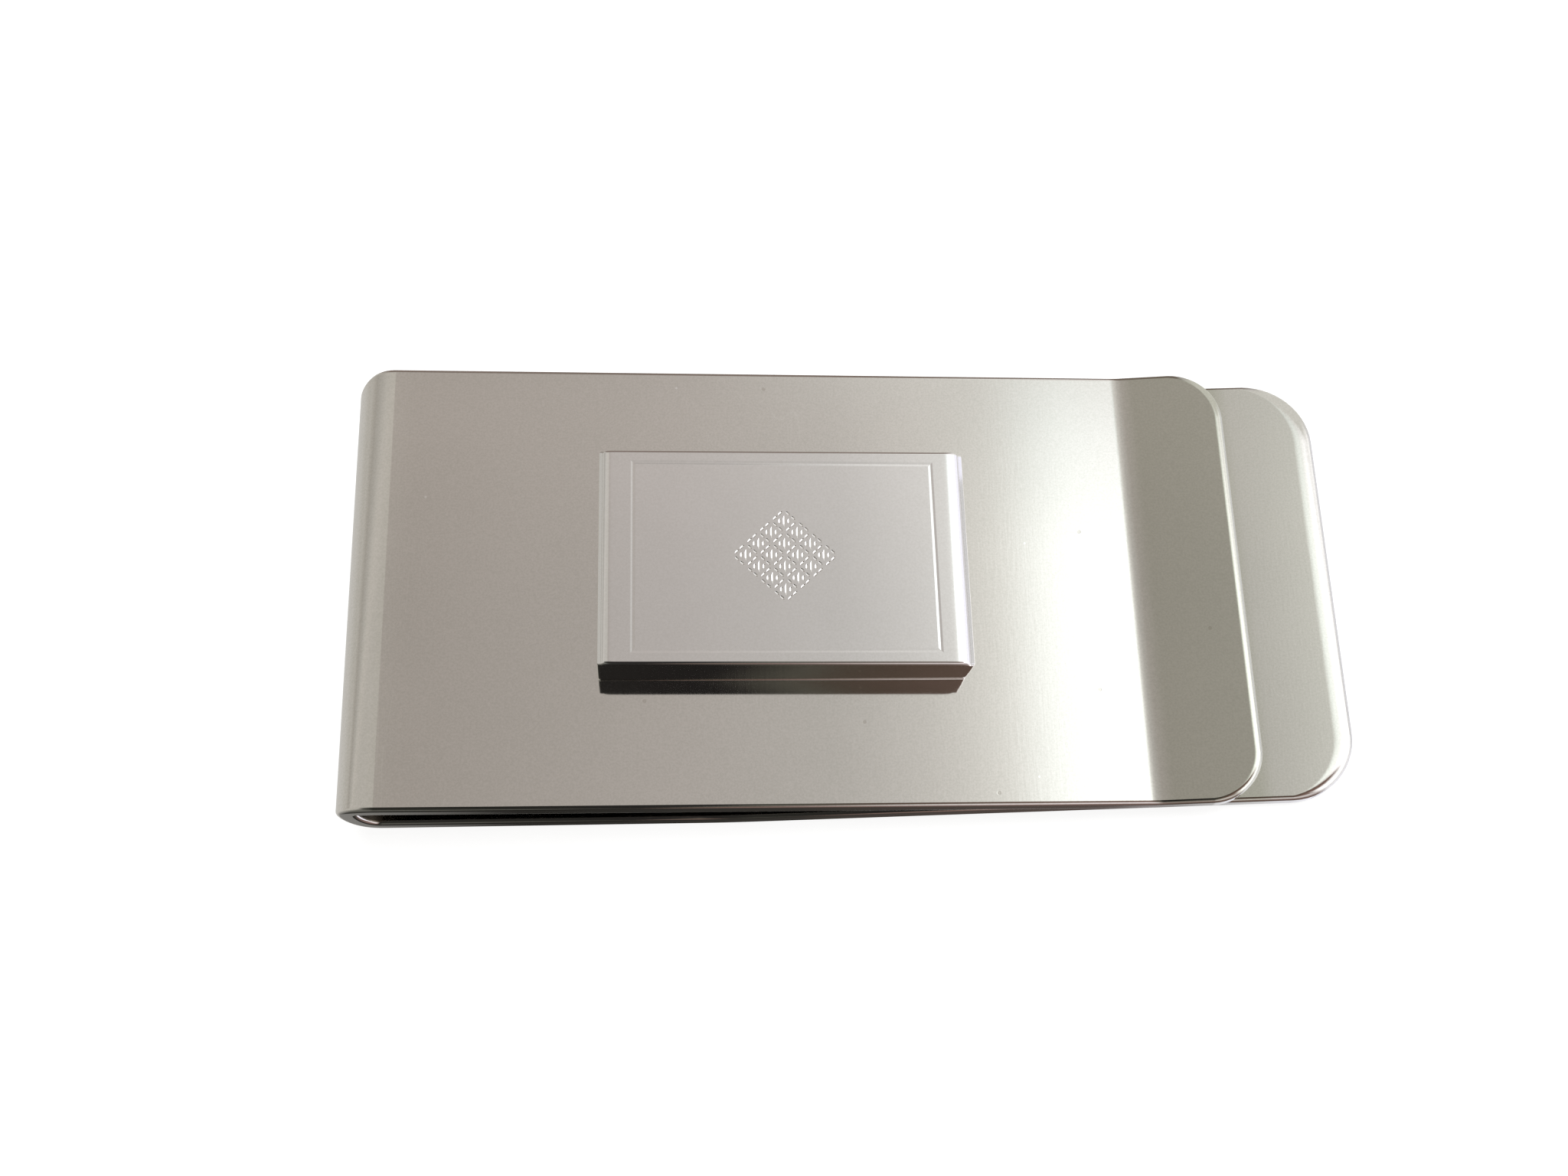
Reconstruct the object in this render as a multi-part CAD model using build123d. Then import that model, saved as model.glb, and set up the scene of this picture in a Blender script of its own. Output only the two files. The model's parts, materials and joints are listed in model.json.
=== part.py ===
from build123d import *
import math
import os

# A spring money clip: one bent metal strip with an engraved emblem plate bonded to its front leaf.
# Frame: +Z up, +X from the fold towards the lip, origin at the bottom centre of the whole clip.
# The strip is described by its mid-line in the XZ plane, walked from the tip of the back leaf,
# round the fold, to the end of the lip. Lengths are in millimetres and angles in degrees.

# Strip
STRIP_WIDTH = 25.4
STRIP_THICKNESS = 1.1
FOLD_GAP = 2.3
EDGE_ROUND = 0.3
TIP_CORNER = 2.9

# Back leaf: a flat length that rests on the table, a soft bend, and a run up to the fold
REST_LENGTH = 34.6
BACK_RUN = 18.5
LEAF_SLOPE = 5.6
SLOPE_BEND_RADIUS = 30.0

# Front leaf: parallel to the back run, down to the contact line, then a lip that flares up
FRONT_RUN = 41.5
LIP_LENGTH = 6.0
LIP_TURN = 8.6
LIP_BEND_RADIUS = 9.0

# Emblem plate, measured along the front leaf from the fold and across it from the middle
PLATE_START = 11.5
PLATE_LENGTH = 20.0
PLATE_WIDTH = 12.2
PLATE_OFFSET = 0.4
PLATE_THICKNESS = 2.9
PLATE_EDGE_ROUND = 0.2
PILLOW_LENGTH = 1.45
PILLOW_DROP = 0.45
FILM_THICKNESS = 0.1
FILM_INSET = 0.35

# Engraving on the plate: a thin frame line round a lozenge lattice
FRAME_END_INSET = 1.9
FRAME_SIDE_INSET = 0.75
LINE_WIDTH = 0.16
LINE_DEPTH = 0.1
LOZENGE_LENGTH = 5.6
LOZENGE_WIDTH = 5.2
LOZENGE_CELLS = 4

FOLD_RADIUS = (FOLD_GAP + STRIP_THICKNESS) / 2


def tangent_length(radius, turn):
    """Distance from a bend's tangent point to the corner that the bend rounds."""
    return radius * math.tan(math.radians(abs(turn)) / 2)


def direction(heading):
    return Vector(math.cos(math.radians(heading)), math.sin(math.radians(heading)))


def stride(point, heading, step):
    """The mid-line's point and heading after one (length, radius, turn) step."""
    length, radius, turn = step
    if not turn:
        return point + direction(heading) * length, heading
    side = math.copysign(90, turn)
    centre = point + direction(heading + side) * radius
    return centre - direction(heading + turn + side) * radius, heading + turn


def side_edge(point, heading, step, offset):
    """The edge that a step draws at a distance to the left of the mid-line."""
    shifted = point + direction(heading + 90) * offset
    length, radius, turn = step
    end, last = stride(point, heading, step)
    end = end + direction(last + 90) * offset
    if not turn:
        return Edge.make_line(shifted, end)
    middle, half_way = stride(point, heading, (0, radius, turn / 2))
    return Edge.make_three_point_arc(shifted, middle + direction(half_way + 90) * offset, end)


def strip_length(point, heading, steps):
    """The solid of a length of strip with square edges, as wide as the clip."""
    edges = []
    start = point, heading
    for step in steps:
        edges.append(side_edge(point, heading, step, STRIP_THICKNESS / 2))
        edges.append(side_edge(point, heading, step, -STRIP_THICKNESS / 2))
        point, heading = stride(point, heading, step)
    for end, angle in (start, (point, heading)):
        across = direction(angle + 90) * STRIP_THICKNESS / 2
        edges.append(Edge.make_line(end - across, end + across))
    profile = Plane.XZ * Face(Wire(edges))
    return extrude(profile, STRIP_WIDTH / 2, both=True)


def leaf(point, heading, steps, fold_first):
    """A leaf with rounded tip corners and soft edges, cut square where it meets the fold."""
    solid = strip_length(point, heading, steps)
    tip_at, fold_at = point, point
    for step in steps:
        point, heading = stride(point, heading, step)
    if fold_first:
        tip_at = point
    else:
        fold_at = point
    tip = Vector(tip_at.X, 0, tip_at.Y)
    fold = Vector(fold_at.X, 0, fold_at.Y)
    tip_face = solid.faces().sort_by_distance(tip)[0]
    corners = tip_face.edges().filter_by(Axis.Y, reverse=True)
    solid = fillet(corners, TIP_CORNER)
    fold_face = solid.faces().sort_by_distance(fold)[0]
    return fillet(outline_edges(solid, fold_face), EDGE_ROUND)


def outline_edges(solid, fold_face):
    """The edges round a leaf's top and bottom faces, but not its end at the fold."""
    kept = []
    fold_centres = [edge.center() for edge in fold_face.edges()]
    for edge in solid.edges():
        across = edge.length > STRIP_WIDTH - 1 and abs(edge.center().Y) < 0.1
        through = edge.geom_type == GeomType.LINE and abs(edge.length - STRIP_THICKNESS) < 0.01
        at_fold = any((edge.center() - centre).length < 0.01 for centre in fold_centres)
        if not (across or through or at_fold):
            kept.append(edge)
    return kept


def spring_fold(point, heading, centre):
    """The half-round fold: the strip's soft-edged section turned about the fold's axis."""
    section_plane = Plane(
        origin=(point.X, 0, point.Y),
        x_dir=(0, 1, 0),
        z_dir=(direction(heading).X, 0, direction(heading).Y),
    )
    section = section_plane * RectangleRounded(STRIP_WIDTH, STRIP_THICKNESS, EDGE_ROUND)
    axis = Axis((centre.X, 0, centre.Y), (0, 1, 0))
    return revolve(section, axis, 180)


def emblem_plate():
    """The plate on its own leaf plane: flat below, its two ends rounded down on top."""
    half = PLATE_LENGTH / 2
    shoulder = PLATE_THICKNESS - PILLOW_DROP
    flat = half - PILLOW_LENGTH
    with BuildLine(Plane.XZ) as profile:
        Polyline((-half, shoulder), (-half, 0), (half, 0), (half, shoulder))
        pillow_arc(flat, 1)
        Line((flat, PLATE_THICKNESS), (-flat, PLATE_THICKNESS))
        pillow_arc(flat, -1)
    plate = extrude(make_face(profile.edges()), PLATE_WIDTH / 2, both=True)
    long_edges = [e for e in plate.edges() if abs(abs(e.center().Y) - PLATE_WIDTH / 2) < 0.01]
    edges = long_edges + list(plate.edges().group_by(Axis.Z)[0].filter_by(Axis.Y))
    plate = fillet(edges, PLATE_EDGE_ROUND)
    return plate - engraving()


def pillow_arc(flat, side):
    """The arc from the plate's flat top down to the top of one end face."""
    end = (side * PLATE_LENGTH / 2, PLATE_THICKNESS - PILLOW_DROP)
    return TangentArc((side * flat, PLATE_THICKNESS), end, tangent=(side, 0))


def engraving():
    """Cutters for the frame line and for the lozenge lattice in the middle of the plate."""
    frame_length = PLATE_LENGTH - 2 * FRAME_END_INSET
    frame_width = PLATE_WIDTH - 2 * FRAME_SIDE_INSET
    outer = Rectangle(frame_length + LINE_WIDTH, frame_width + LINE_WIDTH)
    inner = Rectangle(frame_length - LINE_WIDTH, frame_width - LINE_WIDTH)
    lines = outer - inner
    for index in range(LOZENGE_CELLS + 1):
        lines += lattice_line(index / LOZENGE_CELLS, 1)
        lines += lattice_line(index / LOZENGE_CELLS, -1)
    return Pos(0, 0, PLATE_THICKNESS - LINE_DEPTH) * extrude(lines, 2 * LINE_DEPTH)


def lattice_line(share, lean):
    """One line of the lozenge lattice, a share of the way across it, leaning up or down."""
    side = Vector(LOZENGE_LENGTH / 2, lean * LOZENGE_WIDTH / 2)
    step = Vector(LOZENGE_LENGTH / 2, -lean * LOZENGE_WIDTH / 2)
    middle = step * (share - 0.5)
    angle = math.degrees(math.atan2(side.Y, side.X))
    return Pos(middle.X, middle.Y) * Rot(0, 0, angle) * Rectangle(side.length, LINE_WIDTH)


def walk(start, heading, steps):
    for step in steps:
        start, heading = stride(start, heading, step)
    return start, heading


bend_corner = tangent_length(SLOPE_BEND_RADIUS, LEAF_SLOPE)
lip_corner = tangent_length(LIP_BEND_RADIUS, LIP_TURN)
back_steps = [
    (REST_LENGTH - bend_corner, 0, 0),
    (0, SLOPE_BEND_RADIUS, -LEAF_SLOPE),
    (BACK_RUN - bend_corner, 0, 0),
]
front_steps = [
    (FRONT_RUN - lip_corner, 0, 0),
    (0, LIP_BEND_RADIUS, LIP_TURN),
    (LIP_LENGTH - lip_corner, 0, 0),
]

# The walk starts at the back leaf's tip, placed so that the clip is centred on X
run_end, run_heading = walk(Vector(0, 0), 180, back_steps)
fold_reach = (run_end + direction(run_heading - 90) * FOLD_RADIUS).X - FOLD_RADIUS - STRIP_THICKNESS / 2
tip = Vector(-fold_reach / 2, STRIP_THICKNESS / 2)
fold_start, run_heading = walk(tip, 180, back_steps)
fold_centre = fold_start + direction(run_heading - 90) * FOLD_RADIUS
fold_end, front_heading = stride(fold_start, run_heading, (0, FOLD_RADIUS, -180))

# The plane of the front leaf's outer face, with its origin under the middle of the plate
outward = direction(front_heading + 90)
plate_middle = (
    fold_end + outward * STRIP_THICKNESS / 2 + direction(front_heading) * (PLATE_START + PLATE_LENGTH / 2)
)
leaf_plane = Plane(
    origin=(plate_middle.X, PLATE_OFFSET, plate_middle.Y),
    x_dir=(direction(front_heading).X, 0, direction(front_heading).Y),
    z_dir=(outward.X, 0, outward.Y),
)
film = Box(
    PLATE_LENGTH - 2 * FILM_INSET,
    PLATE_WIDTH - 2 * FILM_INSET,
    FILM_THICKNESS,
    align=(Align.CENTER, Align.CENTER, Align.MIN),
)

nodes = {
    "back_leaf": leaf(tip, 180, back_steps, fold_first=False),
    "spring_fold": spring_fold(fold_start, run_heading, fold_centre),
    "front_leaf": leaf(fold_end, front_heading, front_steps, fold_first=True),
    "adhesive_film": leaf_plane * film,
    "emblem_plate": leaf_plane * Pos(0, 0, FILM_THICKNESS) * emblem_plate(),
}

os.makedirs("parts", exist_ok=True)
for name, solid in nodes.items():
    export_step(solid, f"parts/{name}.step")
    box = solid.bounding_box()
    print(f"{name}: volume {solid.volume:.1f}, from {box.min} to {box.max}")
print(f"fold axis at x {fold_centre.X:.4f}, z {fold_centre.Y:.4f}; fold top at {fold_end}")
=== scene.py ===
import json
import math

import bmesh
import bpy
from mathutils import Matrix, Vector
from mathutils.geometry import delaunay_2d_cdt


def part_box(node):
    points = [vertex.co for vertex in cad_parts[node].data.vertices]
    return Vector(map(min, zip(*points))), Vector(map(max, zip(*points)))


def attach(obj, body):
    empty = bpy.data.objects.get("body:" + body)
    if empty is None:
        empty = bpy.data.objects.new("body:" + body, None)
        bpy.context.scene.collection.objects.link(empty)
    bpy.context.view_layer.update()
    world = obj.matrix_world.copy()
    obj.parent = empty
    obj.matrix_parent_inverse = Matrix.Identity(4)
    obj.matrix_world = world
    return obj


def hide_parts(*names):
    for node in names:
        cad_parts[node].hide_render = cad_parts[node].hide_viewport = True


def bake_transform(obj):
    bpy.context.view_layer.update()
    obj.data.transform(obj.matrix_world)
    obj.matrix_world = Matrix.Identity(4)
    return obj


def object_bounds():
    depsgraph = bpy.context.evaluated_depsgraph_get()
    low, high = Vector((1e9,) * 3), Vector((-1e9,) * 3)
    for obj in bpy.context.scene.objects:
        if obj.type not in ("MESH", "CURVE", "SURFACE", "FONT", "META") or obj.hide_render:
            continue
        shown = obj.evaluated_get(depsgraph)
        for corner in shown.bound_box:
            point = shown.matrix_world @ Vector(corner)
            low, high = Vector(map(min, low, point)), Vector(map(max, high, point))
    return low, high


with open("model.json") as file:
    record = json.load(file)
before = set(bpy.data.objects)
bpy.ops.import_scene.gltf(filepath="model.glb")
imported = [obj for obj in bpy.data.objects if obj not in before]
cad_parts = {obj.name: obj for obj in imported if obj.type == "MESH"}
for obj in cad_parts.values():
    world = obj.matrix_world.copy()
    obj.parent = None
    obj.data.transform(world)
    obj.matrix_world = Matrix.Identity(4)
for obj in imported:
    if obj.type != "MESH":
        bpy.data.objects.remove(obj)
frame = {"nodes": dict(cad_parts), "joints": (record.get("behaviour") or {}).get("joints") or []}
cad_low, cad_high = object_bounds()

# Lengths are in metres, and angles in degrees, in the frame of the CAD model. TINY absorbs
# rounding where two places are compared.
MM = 0.001
TINY = 1e-9

# Strip: shape values that its CAD boxes don't give. The lip rises above level. The edges are
# rounded over a reach in the strip's plane and a depth through its thickness. The back leaf
# narrows towards its tip, and the fold is drawn in at its near edge and its far edge. The fold's
# inside is dull metal darkened with painted shade, with a skin's allowance on its radius.
SLOPE_BEND_RADIUS = 30 * MM
LIP_LENGTH = 6.0 * MM
LIP_RISE = 3.0
LIP_BEND_RADIUS = 5.5 * MM
LIP_CORNER = 2.9 * MM
BACK_CORNER = 3.7 * MM
EDGE_DEPTH = 0.25 * MM
SIDE_REACH = 0.24 * MM
LIP_REACH = 0.50 * MM
BACK_TIP_REACH = 1.15 * MM
BACK_TIP_POWER = 3
BACK_NARROWING = 0.28 * MM
FOLD_NARROWING_NEAR = 0.20 * MM
FOLD_NARROWING_FAR = 0.75 * MM
INNER_SKIN = 0.02 * MM

# Painted shade on the strip's metal by the distance from the clip's middle towards the tips:
# none, then darker on the lip and a little darker on the back leaf's tip. It stands in for the
# darker reflections there, matching their brightness in the photo where the room's reflection
# alone doesn't, and isn't known wear.
LIP_SHADE_START = 15.9 * MM
LIP_SHADE_FULL = 17.1 * MM
TIP_SHADE_START = 22.1 * MM
TIP_SHADE_FULL = 22.9 * MM
NO_PAINTED_SHADE = (1.0, 1.0, 1.0)
LIP_PAINTED_SHADE = (0.72, 0.74, 0.68)
TIP_PAINTED_SHADE = (0.83, 0.84, 0.82)

# Marks on the metal: how sharply a spot ends, and where scratches lie in patches of a noise
SPOT_SHARPNESS = 3.0
PATCH_SCALE = 0.6
PATCH_START = 0.56

# Fineness of the strip's mesh: steps round an edge and a corner, rows across the strip, the
# distance between columns on a straight run, and the degrees between them on each bend
ROUND_STEPS = 8
CORNER_STEPS = 14
ROW_COUNT = 14
FLAT_STEP = 1.6 * MM
SHORTEST_STEP = 0.2 * MM
FOLD_STEP = 4
LIP_STEP = 0.6
SLOPE_STEP = 0.5

# Emblem plate: each end falls away over a length, by a drop, as a power of the distance, and
# the long sides are slightly crowned and wavy. The wave's phase is in radians.
RIGHT_PILLOW = (1.62 * MM, 0.36 * MM, 7)
LEFT_PILLOW = (0.90 * MM, 0.22 * MM, 5)
PLATE_SHOULDER = 0.18 * MM
PLATE_EDGE_ROUND = 0.16 * MM
SIDE_CROWN = 0.022 * MM
SIDE_WAVE = 0.045 * MM
SIDE_WAVE_LENGTH = 15 * MM
SIDE_WAVE_PHASE = 0.6
SIDE_ROWS = 8
PILLOW_STEPS = 14
SHOULDER_STEPS = 4
FRAME_END_INSET = 1.85 * MM
FRAME_SIDE_INSET = 0.75 * MM
FRAME_LINE_WIDTH = 0.27 * MM
FRAME_LINE_DEPTH = 0.0075 * MM
GROOVE_SHARES = (0.75, 0.5, 0.25, 0, -0.25, -0.5, -0.75)

# Bright-cut lozenge in the middle of the plate. Stroke lengths and places are shares of one
# cell's side: two strokes lie on each side, and three upright ones in the cell. A stroke's
# shoulders and the ends of its keel are placed by shares of its half length.
LOZENGE_LENGTH = 5.6 * MM
LOZENGE_WIDTH = 5.2 * MM
LOZENGE_CELLS = 4
CUT_WIDTH = 0.13 * MM
CUT_DEPTH = 0.0135 * MM
CUT_SHOULDER = 0.45
KEEL_SHARE = 0.5
SIDE_STROKE = 0.34
SIDE_STROKE_PLACES = (0.3, 0.7)
UPRIGHT_STROKES = ((-0.26, 0.34), (0, 0.72), (0.26, 0.34))
UPRIGHT_WIDTH = 1.15 * CUT_WIDTH

# Bond film, squeezed out a little between the plate and the leaf
FILM_CORNER = 0.8 * MM
FILM_BULGE = 0.05 * MM
FILM_CORNER_STEPS = 8

# Camera: the point it looks at, how far off it is, and how it is turned
AIM = Vector((-3.54, -0.01, 3.0)) * MM
AIM_DISTANCE = 94.73 * MM
AZIMUTH = 1.40
ELEVATION = 70.76
ROLL = -3.08
LENS_MM = 38.94
SENSOR_MM = 36.0
CLIP_NEAR = 1 * MM
CLIP_FAR = 20.0

# Studio: half the table's width, the backdrop's radius, height and faces, and the table's light
TABLE_REACH = 3.0
BACKDROP_RADIUS = 2.5
BACKDROP_HEIGHT = 2.5
BACKDROP_FOOT = -0.01
BACKDROP_FACES = 48
LIGHT_PLACE = Vector((0.15, 0.25, 0.9))
LIGHT_SIZE = 0.7
LIGHT_POWER = 11


# ---------------------------------------------------------------- mesh building

class Shell:
    """Vertices with their own shading normals, and faces that are smooth or flat."""

    def __init__(self):
        self.points = []
        self.normals = []
        self.faces = []
        self.flat = set()

    def vertex(self, point, normal):
        self.points.append(point)
        self.normals.append(normal)
        return len(self.points) - 1

    def face(self, corners, flat=False):
        if flat:
            self.flat.add(len(self.faces))
        self.faces.append(tuple(corners))

    def bridge(self, first, second, closed=False, flat=False):
        """Quads between two rows of vertices with the same count."""
        count = len(first)
        for i in range(count if closed else count - 1):
            j = (i + 1) % count
            self.face((first[i], first[j], second[j], second[i]), flat)

    def make(self, name):
        """The scene object of the shell, with its faces turned outward."""
        mesh = bpy.data.meshes.new(name)
        mesh.from_pydata(self.points, [], self.faces)
        outward = bmesh.new()
        outward.from_mesh(mesh)
        bmesh.ops.recalc_face_normals(outward, faces=outward.faces)
        outward.to_mesh(mesh)
        outward.free()
        corner_normals = []
        for polygon in mesh.polygons:
            polygon.use_smooth = True
            flat = polygon.index in self.flat
            for corner in polygon.vertices:
                corner_normals.append(polygon.normal if flat else self.normals[corner])
        mesh.normals_split_custom_set([tuple(n) for n in corner_normals])
        piece = bpy.data.objects.new(name, mesh)
        bpy.context.scene.collection.objects.link(piece)
        return piece


def quarter_round(reach, drop, power=2):
    """Inset, depth and normal (outward, up) from the top face's rim down to the side face. Power
    2 is a quarter of an ellipse; a higher one starts more gently."""
    steps = []
    for i in range(ROUND_STEPS + 1):
        angle = math.radians(90 * i / ROUND_STEPS)
        out = math.sin(angle) ** (2 / power)
        outward = power / 2 * out ** (power - 1) / reach
        up = math.cos(angle) / drop
        size = math.hypot(outward, up)
        steps.append((
            reach * (1 - out),
            drop * (1 - math.cos(angle)),
            outward / size,
            up / size,
        ))
    return steps


# ---------------------------------------------------------------- the bent strip

def heading_vector(heading):
    """A unit vector in the XZ plane, at an angle up from +X."""
    return Vector((math.cos(math.radians(heading)), 0, math.sin(math.radians(heading))))


class MidLine:
    """A line of straight runs and arcs in the XZ plane, from a start point and heading."""

    def __init__(self, start, heading):
        self.parts = []
        self.end = start
        self.heading = heading
        self.length = 0.0

    def run(self, length, turn=0.0, step=FLAT_STEP):
        """Goes on by a length, with a turn spread over it and columns a step apart."""
        self.parts.append((self.length, length, self.end, self.heading, turn, step))
        self.end, self.heading = self.at(self.length + length)
        self.length += length
        return self

    def arc(self, radius, turn, step_angle):
        length = radius * math.radians(abs(turn))
        return self.run(length, turn, length * step_angle / abs(turn))

    def at(self, distance):
        """The point and heading at a distance from the start."""
        part = [p for p in self.parts if p[0] <= distance + TINY][-1]
        first, length, point, heading, turn, _ = part
        share = (distance - first) / length
        if not turn:
            return point + heading_vector(heading) * (distance - first), heading
        radius = length / math.radians(abs(turn))
        side = math.copysign(90, turn)
        centre = point + heading_vector(heading + side) * radius
        turned = heading + turn * share
        return centre - heading_vector(turned + side) * radius, turned

    def stations(self, last):
        """Distances along the line, close together on the arcs, up to the last one."""
        found = []
        for first, length, *_, step in self.parts:
            count = max(1, math.ceil(length / step - TINY))
            found += [first + length * i / count for i in range(count)]
        return [d for d in found if d < last - SHORTEST_STEP] + [last]


def strip_plan(line, width, corner, narrowing=0.0, waist=(0.0, 0.0, 0.0)):
    """Columns of the strip's outline from its seam to its tip: distance, middle, half width and
    outward normal. The last column is the straight part of the tip's edge. The waist is a length
    from the seam over which the strip is drawn in, and how far at its near and far edges."""
    square_end = line.length - corner
    waist_length, near, far = waist
    columns = []
    for s in line.stations(square_end):
        drawn = math.sin(math.pi * s / waist_length) ** 3 if s < waist_length else 0.0
        half = (width - (near + far) * drawn) / 2 - narrowing * s / square_end
        columns.append((s, (near - far) * drawn / 2, half, 0.0, 1.0))
    for i in range(1, CORNER_STEPS + 1):
        angle = math.radians(90 * i / CORNER_STEPS)
        columns.append((
            square_end + corner * math.sin(angle),
            0.0,
            width / 2 - narrowing - corner * (1 - math.cos(angle)),
            math.sin(angle),
            math.cos(angle),
        ))
    return columns


def strip_mesh(name, line, columns, thickness, tip_reach, tip_power=2):
    """A strip of metal bent along a line: a grid on each face, joined by rounded edges."""
    shell = Shell()
    shares = [2 * row / ROW_COUNT - 1 for row in range(ROW_COUNT + 1)]
    side_steps = quarter_round(SIDE_REACH, EDGE_DEPTH)
    tip_steps = quarter_round(tip_reach, EDGE_DEPTH, tip_power)

    def place(distance, across, height, normal):
        """A vertex on the bent strip. Height and normal are measured from its mid-line."""
        point, heading = line.at(min(distance, line.length))
        along, up = heading_vector(heading), heading_vector(heading + 90)
        where = point + up * height
        turned = along * normal[0] + up * normal[2]
        turned.y = normal[1]
        return shell.vertex((where.x, across, where.z), turned.normalized())

    def rim_point(column, share, step, face):
        """A point of the rounded edge, on the upper half (face 1) or the lower half (-1)."""
        distance, middle, half, n_along, n_across = column
        side, tip = side_steps[step], tip_steps[step]
        inset, drop, outward, up = (a + (b - a) * n_along for a, b in zip(side, tip))
        n_y = math.copysign(n_across, share) if abs(share) == 1 else 0.0
        return place(
            distance - inset * n_along,
            middle + (half - inset * n_across) * share,
            (thickness / 2 - drop) * face,
            (n_along * outward, n_y * outward, up * face),
        )

    def face_grid(ring, face):
        """Rows across the strip that join the rim's two sides, up to the edge of its tip."""
        grid = []
        for i, (distance, middle, half, n_along, n_across) in enumerate(columns[:-1]):
            inset = SIDE_REACH + (tip_reach - SIDE_REACH) * n_along
            between = [
                place(
                    distance - inset * n_along, middle + (half - inset * n_across) * share,
                    thickness / 2 * face, (0, 0, face),
                )
                for share in shares[1:-1]
            ]
            grid.append([ring[i], *between, ring[len(ring) - 1 - i]])
        grid.append(ring[len(columns) - 1:len(columns) + ROW_COUNT])
        for first, second in zip(grid, grid[1:]):
            shell.bridge(first, second)
        return grid[0]

    rings = []
    for face, order in ((1, range(ROUND_STEPS + 1)), (-1, range(ROUND_STEPS, -1, -1))):
        for step in order:
            near = [rim_point(c, -1, step, face) for c in columns]
            across = [rim_point(columns[-1], share, step, face) for share in shares[1:-1]]
            far = [rim_point(c, 1, step, face) for c in reversed(columns)]
            rings.append(near + across + far)
    for upper, lower in zip(rings, rings[1:]):
        shell.bridge(upper, lower)
    top_seam = face_grid(rings[0], 1)
    bottom_seam = face_grid(rings[-1], -1)
    near_seam = [ring[0] for ring in rings[1:-1]]
    far_seam = [ring[-1] for ring in rings[1:-1]]
    shell.face([*top_seam, *far_seam, *reversed(bottom_seam), *reversed(near_seam)], flat=True)
    return shell.make(name)


def node_points(node):
    """The points of a CAD node's mesh."""
    return [v.co.copy() for v in frame["nodes"][node].data.vertices]


# The fold is a half ring about the joint's axis, so its points give the strip's thickness
axis_point = Vector(frame["joints"][0]["pos_m"])
fold_radii = [
    math.hypot(p.x - axis_point.x, p.z - axis_point.z) for p in node_points("spring_fold")
]
outer_radius, inner_radius = max(fold_radii), min(fold_radii)
strip_thickness = outer_radius - inner_radius
mid_radius = (outer_radius + inner_radius) / 2
fold_low, fold_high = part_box("spring_fold")
back_tip_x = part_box("back_leaf")[1].x
front_tip_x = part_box("front_leaf")[1].x
strip_width = fold_high.y - fold_low.y
slope = math.degrees(math.asin((fold_high.x - axis_point.x) / outer_radius))
leaf_up = heading_vector(90 - slope)
strip_reach = 2 * back_tip_x


def corner_length(radius, turn):
    """Distance from a bend's tangent point to the corner that the bend rounds."""
    return radius * math.tan(math.radians(turn / 2))


def front_line():
    """Mid-line of the fold, the front leaf and the lip, from the seam under the fold."""
    lip_turn = slope + LIP_RISE
    trim = corner_length(LIP_BEND_RADIUS, lip_turn)
    leaf_start = axis_point + leaf_up * mid_radius
    lip = heading_vector(LIP_RISE)
    tip_x = front_tip_x - strip_thickness / 2 * lip.z
    leaf_length = (tip_x - leaf_start.x - LIP_LENGTH * lip.x) / heading_vector(slope).x
    line = MidLine(axis_point - leaf_up * mid_radius, 180 - slope)
    line.arc(mid_radius, -180, FOLD_STEP)
    line.run(leaf_length - trim)
    line.arc(LIP_BEND_RADIUS, lip_turn, LIP_STEP)
    return line.run(LIP_LENGTH - trim)


def back_line():
    """Mid-line of the back leaf, from the seam under the fold to its tip."""
    start = axis_point - leaf_up * mid_radius
    trim = corner_length(SLOPE_BEND_RADIUS, slope)
    run_length = (start.z - strip_thickness / 2) / math.sin(math.radians(slope))
    corner_x = start.x + run_length * math.cos(math.radians(slope))
    line = MidLine(start, -slope)
    line.run(run_length - trim)
    line.arc(SLOPE_BEND_RADIUS, slope, SLOPE_STEP)
    return line.run(back_tip_x - corner_x - trim)


# ---------------------------------------------------------------- the emblem plate

leaf_along = heading_vector(-slope)
# Turns the leaf's own axes, along it, across it and out of it, to the axes of the CAD frame
leaf_to_frame = Matrix((
    (leaf_along.x, 0, leaf_up.x),
    (0, 1, 0),
    (leaf_along.z, 0, leaf_up.z),
))


def leaf_box(node):
    """A node's lowest and highest corners in the leaf's own axes: along, across and out."""
    points = [leaf_to_frame.transposed() @ p for p in node_points(node)]
    low = Vector([min(p[i] for p in points) for i in range(3)])
    high = Vector([max(p[i] for p in points) for i in range(3)])
    return low, high


def arc_points(centre, radius, first, last, count):
    """Points and outward normals along an arc, angles from the first to the last."""
    found = []
    for i in range(count + 1):
        angle = math.radians(first + (last - first) * i / count)
        normal = (math.cos(angle), math.sin(angle))
        found.append(((centre[0] + radius * normal[0], centre[1] + radius * normal[1]), normal))
    return found


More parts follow.
